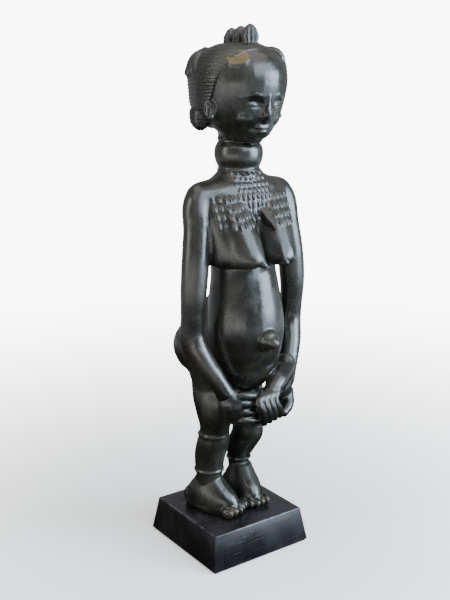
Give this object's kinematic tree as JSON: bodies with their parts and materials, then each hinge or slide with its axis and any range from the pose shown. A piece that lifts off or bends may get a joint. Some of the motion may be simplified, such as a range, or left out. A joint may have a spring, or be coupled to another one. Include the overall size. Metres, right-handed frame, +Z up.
{
  "type": "carved ancestor figure",
  "caption": "Standing hardwood figure with hands folded below a round belly, ringed neck and lobed coiffure, held on a tapered plinth by steel studs",
  "frame": {"origin": "centre of the plinth's footprint, on the underside of its felt", "axes": "+Z up; the figure faces -Y; its left hand is at +X"},
  "size_m": [0.15, 0.1426, 0.5385],
  "materials": {
    "patinated_wood": "near-black oiled and handled patina, soft gloss",
    "ebonised_wood": "black stained, rubbed to a satin sheen, worn along the top edges",
    "steel": "zinc plated",
    "felt": "matt dark felt"
  },
  "bodies": {
    "root": {"figure": "patinated_wood", "plinth": "ebonised_wood", "right_stud": "steel", "left_stud": "steel", "right_washer": "steel", "left_washer": "steel", "right_nut": "steel", "left_nut": "steel", "felt_sheet": "felt"}
  },
  "joints": []
}
